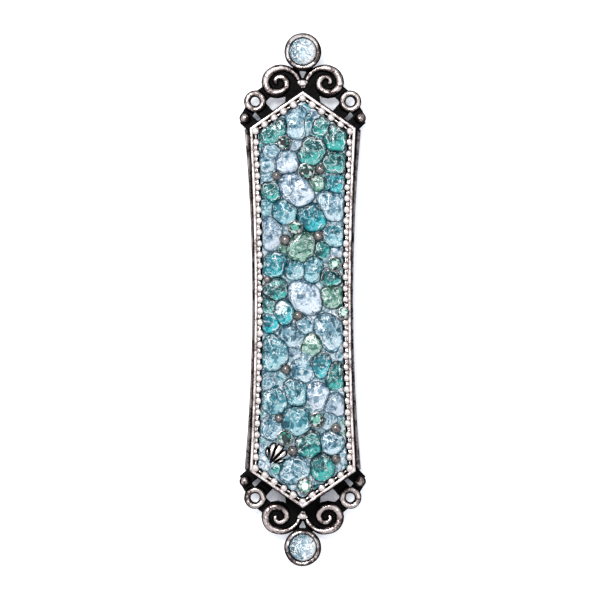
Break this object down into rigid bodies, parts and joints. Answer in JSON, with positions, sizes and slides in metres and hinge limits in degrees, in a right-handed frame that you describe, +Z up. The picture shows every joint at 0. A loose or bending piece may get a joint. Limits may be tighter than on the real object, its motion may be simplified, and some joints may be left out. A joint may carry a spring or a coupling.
{
  "type": "mezuzah case",
  "caption": "Tall hollow doorpost case with tumbled stones set in resin, a beaded rim, scrollwork ends with cabochons, a sliding back cover and a rolled parchment inside.",
  "frame": {"origin": "middle of the case's back, in the plane that lies against the doorpost", "axes": "+Z up along the case, -Y out of the jewelled front, +X to the right as seen from the front"},
  "size_m": [0.0302, 0.0143, 0.1272],
  "materials": {
    "antique_silver": "cast pewter with an antiqued silver finish, black in the recesses",
    "cover_metal": "rolled pewter sheet, fine brushed grain",
    "parchment": "matt cream parchment",
    "resin": "clear resin over a pale lavender-white ground, glossy",
    "crystal": "faceted mint-green crystal in dark claws",
    "cabochon_glass": "polished pale blue glass",
    "teal_stone": "tumbled translucent teal",
    "turquoise_stone": "tumbled translucent turquoise",
    "aqua_stone": "tumbled translucent light aqua",
    "ice_stone": "tumbled clear ice blue",
    "lavender_stone": "tumbled milky lavender",
    "green_stone": "tumbled grey-green"
  },
  "bodies": {
    "case": {"aqua_stone_1": "aqua_stone", "aqua_stone_2": "aqua_stone", "aqua_stone_3": "aqua_stone", "aqua_stone_4": "aqua_stone", "aqua_stone_5": "aqua_stone", "aqua_stone_6": "aqua_stone", "aqua_stone_7": "aqua_stone", "beaded_border": "antique_silver", "bottom_bezel_cup": "antique_silver", "bottom_cabochon": "cabochon_glass", "bottom_scrollwork": "antique_silver", "case_shell": "antique_silver", "crystal_1": "crystal", "crystal_2": "crystal", "crystal_3": "crystal", "crystal_4": "crystal", "crystal_5": "crystal", "crystal_6": "crystal", "crystal_7": "crystal", "crystal_8": "crystal", "green_stone_1": "green_stone", "green_stone_2": "green_stone", "ice_stone_1": "ice_stone", "ice_stone_2": "ice_stone", "ice_stone_3": "ice_stone", "ice_stone_4": "ice_stone", "ice_stone_5": "ice_stone", "ice_stone_6": "ice_stone", "ice_stone_7": "ice_stone", "ice_stone_8": "ice_stone", "ice_stone_9": "ice_stone", "jewel_tray": "antique_silver", "lavender_stone_1": "lavender_stone", "lavender_stone_2": "lavender_stone", "lavender_stone_3": "lavender_stone", "lavender_stone_4": "lavender_stone", "lavender_stone_5": "lavender_stone", "lavender_stone_6": "lavender_stone", "leaf_charm": "antique_silver", "stone_bed": "resin", "teal_stone_1": "teal_stone", "teal_stone_10": "teal_stone", "teal_stone_2": "teal_stone", "teal_stone_3": "teal_stone", "teal_stone_4": "teal_stone", "teal_stone_5": "teal_stone", "teal_stone_6": "teal_stone", "teal_stone_7": "teal_stone", "teal_stone_8": "teal_stone", "teal_stone_9": "teal_stone", "top_bezel_cup": "antique_silver", "top_cabochon": "cabochon_glass", "top_scrollwork": "antique_silver", "turquoise_stone_1": "turquoise_stone", "turquoise_stone_2": "turquoise_stone", "turquoise_stone_3": "turquoise_stone", "turquoise_stone_4": "turquoise_stone", "turquoise_stone_5": "turquoise_stone"},
    "cover": {"back_cover": "cover_metal"},
    "scroll": {"parchment_scroll": "parchment"}
  },
  "joints": [
    {"name": "cover_slide", "type": "slide", "parent": "case", "child": "cover", "axis": [0, 0, 1], "range_m": [0, 0.086]},
    {"name": "scroll_slide", "type": "slide", "parent": "case", "child": "scroll", "axis": [0, 0, 1], "range_m": [0, 0.0138]}
  ]
}
